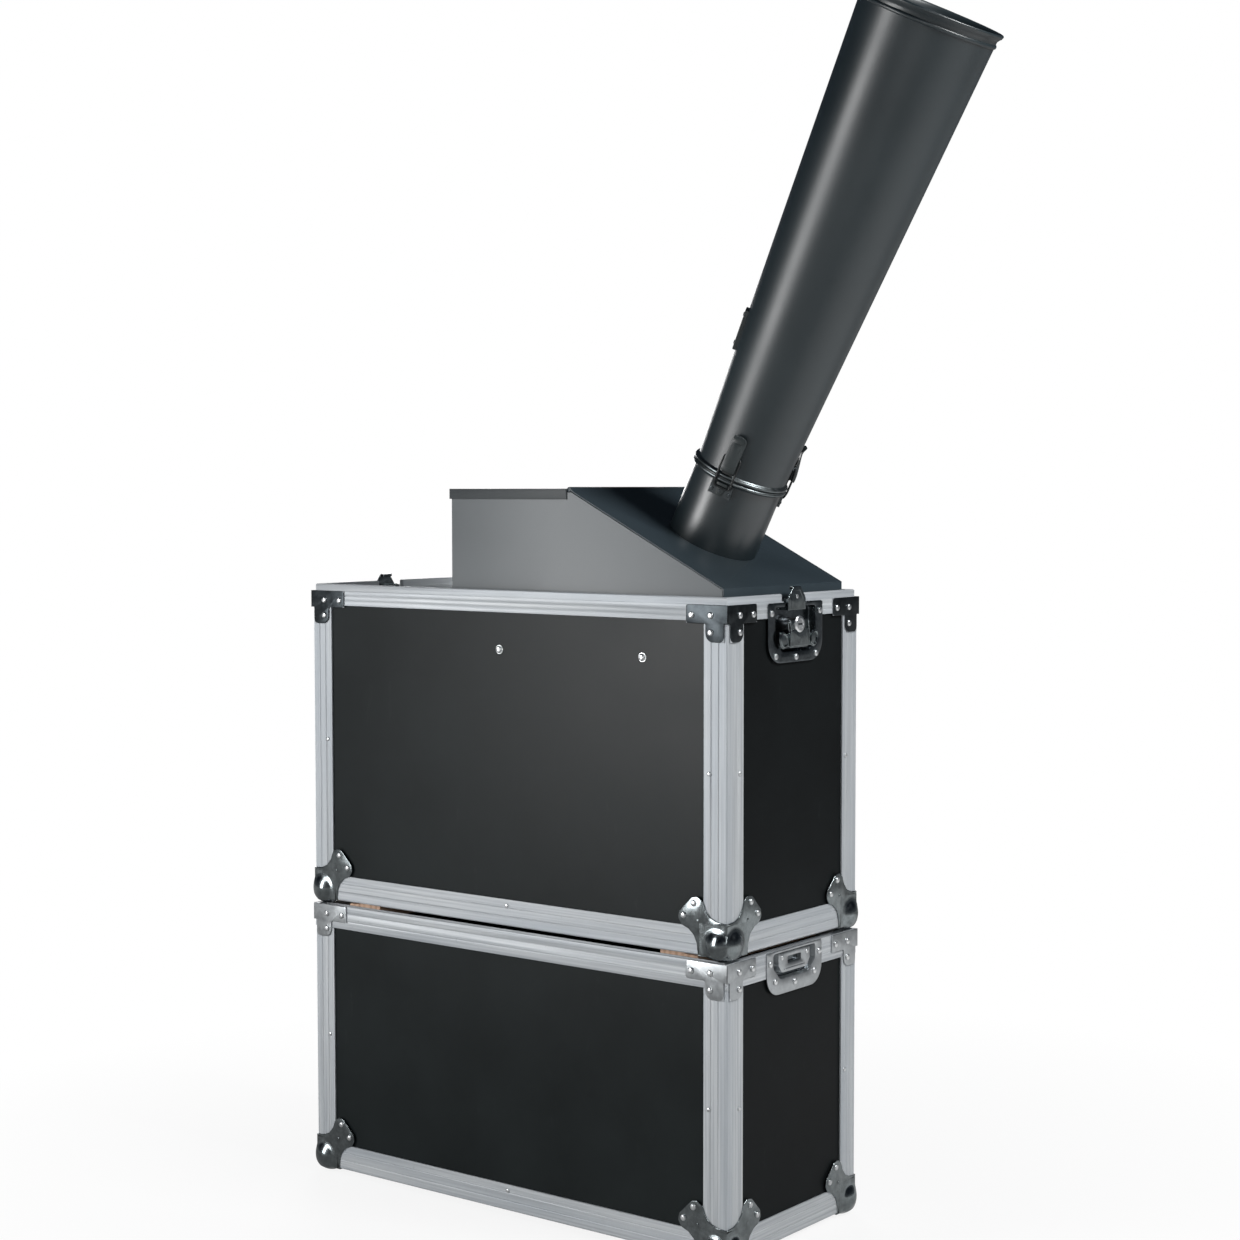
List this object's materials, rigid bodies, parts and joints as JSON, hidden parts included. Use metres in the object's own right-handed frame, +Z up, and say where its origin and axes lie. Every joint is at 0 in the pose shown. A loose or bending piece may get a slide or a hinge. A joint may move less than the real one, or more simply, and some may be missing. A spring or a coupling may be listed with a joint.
{
  "type": "confetti blower",
  "caption": "Hopper-fed confetti blower built into a flight case, with a clasped conical barrel leaning out of a sloped housing and the case's lid as its stand.",
  "frame": {"origin": "on the floor, under the middle of the whole outline", "axes": "+X from the storage bay towards the outlet side, -Y towards the front, +Z up"},
  "size_m": [0.8491, 0.268, 1.3514],
  "materials": {
    "aluminium_profile": "satin extruded aluminium with fine lengthwise grooves",
    "laminate_panel": "plywood faced with charcoal phenolic laminate",
    "corner_steel": "bright plated pressed steel",
    "housing_paint": "mid grey satin powder coat on sheet steel",
    "barrel_paint": "dark grey satin paint on rolled sheet steel",
    "clasp_steel": "black painted steel",
    "timber": "bare planed softwood",
    "galvanised_sheet": "galvanised sheet steel",
    "cast_aluminium": "cast aluminium, unpainted",
    "black_plastic": "black moulded plastic"
  },
  "bodies": {
    "stand": {"stand_panel_front": "laminate_panel", "stand_panel_back": "laminate_panel", "stand_panel_right": "laminate_panel", "stand_panel_left": "laminate_panel", "stand_panel_bottom": "laminate_panel", "stand_rim_frame": "aluminium_profile", "stand_floor_frame": "aluminium_profile", "stand_edge_front_left": "aluminium_profile", "stand_edge_front_right": "aluminium_profile", "stand_edge_back_left": "aluminium_profile", "stand_edge_back_right": "aluminium_profile", "stand_corner_front_left": "corner_steel", "stand_corner_front_right": "corner_steel", "stand_corner_back_left": "corner_steel", "stand_corner_back_right": "corner_steel", "keeper_dish_right": "corner_steel", "keeper_dish_left": "corner_steel"},
    "base": {"base_panel_front": "laminate_panel", "base_panel_back": "laminate_panel", "base_panel_right": "laminate_panel", "base_panel_left": "laminate_panel", "base_panel_bottom": "laminate_panel", "base_rim_frame": "aluminium_profile", "base_floor_frame": "aluminium_profile", "base_edge_front_left": "aluminium_profile", "base_edge_front_right": "aluminium_profile", "base_edge_back_left": "aluminium_profile", "base_edge_back_right": "aluminium_profile", "base_corner_front_left": "corner_steel", "base_corner_front_right": "corner_steel", "base_corner_back_left": "corner_steel", "base_corner_back_right": "corner_steel", "latch_dish_right": "corner_steel", "latch_dish_left": "corner_steel", "runner_left": "timber", "runner_right": "timber", "housing": "housing_paint", "slope_cover": "barrel_paint", "outlet_tube": "barrel_paint", "hopper_funnel": "galvanised_sheet", "fan_casing": "galvanised_sheet", "fan_motor": "cast_aluminium", "agitator_gearmotor": "cast_aluminium", "mains_inlet": "black_plastic"},
    "hopper_lid": {"hopper_lid": "housing_paint"},
    "barrel": {"barrel": "barrel_paint", "barrel_collar": "barrel_paint"},
    "impeller": {"impeller": "galvanised_sheet"},
    "agitator": {"agitator": "galvanised_sheet"},
    "switch_rocker": {"switch_rocker": "black_plastic"},
    "clasp_lever_a": {"clasp_lever_a": "clasp_steel"},
    "clasp_bail_a": {"clasp_bail_a": "clasp_steel"},
    "clasp_lever_b": {"clasp_lever_b": "clasp_steel"},
    "clasp_bail_b": {"clasp_bail_b": "clasp_steel"},
    "clasp_lever_c": {"clasp_lever_c": "clasp_steel"},
    "clasp_bail_c": {"clasp_bail_c": "clasp_steel"},
    "latch_wing_right": {"latch_wing_right": "corner_steel"},
    "latch_hook_right": {"latch_hook_right": "corner_steel"},
    "latch_wing_left": {"latch_wing_left": "corner_steel"},
    "latch_hook_left": {"latch_hook_left": "corner_steel"}
  },
  "joints": [
    {"name": "base_lift", "type": "slide", "parent": "stand", "child": "base", "axis": [0, 0, 1], "range_m": [0, 0.06]},
    {"name": "hopper_lid_hinge", "type": "hinge", "parent": "base", "child": "hopper_lid", "pos_m": [-0.03262, 0, 0.8236], "axis": [0, 1, 0], "range_deg": [0, 100]},
    {"name": "barrel_lift", "type": "slide", "parent": "base", "child": "barrel", "axis": [0.4478, 0, 0.8942], "range_m": [0, 0.025]},
    {"name": "impeller_spin", "type": "hinge", "parent": "base", "child": "impeller", "pos_m": [-0.03449, 0, 0.4463], "axis": [0, 1, 0], "continuous": true},
    {"name": "agitator_spin", "type": "hinge", "parent": "base", "child": "agitator", "pos_m": [-0.05862, 0, 0.7073], "axis": [0, 1, 0], "continuous": true},
    {"name": "switch_rock", "type": "hinge", "parent": "base", "child": "switch_rocker", "pos_m": [-0.19722, -0.062, 0.7503], "axis": [0, -1, 0], "range_deg": [0, 16]},
    {"name": "clasp_lever_a_hinge", "type": "hinge", "parent": "barrel", "child": "clasp_lever_a", "pos_m": [0.1373, -0.05274, 0.84602], "axis": [0.8528, 0.3007, -0.427], "range_deg": [0, 72]},
    {"name": "clasp_bail_a_hinge", "type": "hinge", "parent": "clasp_lever_a", "child": "clasp_bail_a", "pos_m": [0.1423, -0.0514, 0.85694], "axis": [-0.8528, -0.3007, 0.427], "range_deg": [0, 158]},
    {"name": "clasp_lever_b_hinge", "type": "hinge", "parent": "barrel", "child": "clasp_lever_b", "pos_m": [0.15584, 0.04077, 0.83674], "axis": [-0.6592, 0.6756, 0.3301], "range_deg": [0, 72]},
    {"name": "clasp_bail_b_hinge", "type": "hinge", "parent": "clasp_lever_b", "child": "clasp_bail_b", "pos_m": [0.16036, 0.03974, 0.84789], "axis": [0.6592, -0.6756, -0.3301], "range_deg": [0, 158]},
    {"name": "clasp_lever_c_hinge", "type": "hinge", "parent": "barrel", "child": "clasp_lever_c", "pos_m": [0.07416, 0.01197, 0.87764], "axis": [-0.1935, -0.9763, 0.0969], "range_deg": [0, 72]},
    {"name": "clasp_bail_c_hinge", "type": "hinge", "parent": "clasp_lever_c", "child": "clasp_bail_c", "pos_m": [0.08075, 0.01167, 0.88776], "axis": [0.1935, 0.9763, -0.0969], "range_deg": [0, 158]},
    {"name": "latch_wing_right_turn", "type": "hinge", "parent": "base", "child": "latch_wing_right", "pos_m": [0.18838, 0, 0.6783], "axis": [1, 0, 0], "range_deg": [0, 180]},
    {"name": "latch_hook_right_slide", "type": "slide", "parent": "base", "child": "latch_hook_right", "axis": [0, 0, -1], "range_m": [0, 0.008]},
    {"name": "latch_wing_left_turn", "type": "hinge", "parent": "base", "child": "latch_wing_left", "pos_m": [-0.41762, 0, 0.6783], "axis": [-1, 0, 0], "range_deg": [0, 180]},
    {"name": "latch_hook_left_slide", "type": "slide", "parent": "base", "child": "latch_hook_left", "axis": [0, 0, -1], "range_m": [0, 0.008]}
  ],
  "couplings": [
    {"joint": "clasp_lever_a_hinge", "follows": "barrel_lift", "rad_per_m": 50},
    {"joint": "clasp_bail_a_hinge", "follows": "barrel_lift", "rad_per_m": 110},
    {"joint": "clasp_lever_b_hinge", "follows": "barrel_lift", "rad_per_m": 50},
    {"joint": "clasp_bail_b_hinge", "follows": "barrel_lift", "rad_per_m": 110},
    {"joint": "clasp_lever_c_hinge", "follows": "barrel_lift", "rad_per_m": 50},
    {"joint": "clasp_bail_c_hinge", "follows": "barrel_lift", "rad_per_m": 110},
    {"joint": "latch_hook_right_slide", "follows": "latch_wing_right_turn", "m_per_rad": 0.0025464},
    {"joint": "latch_hook_left_slide", "follows": "latch_wing_left_turn", "m_per_rad": 0.0025464}
  ]
}
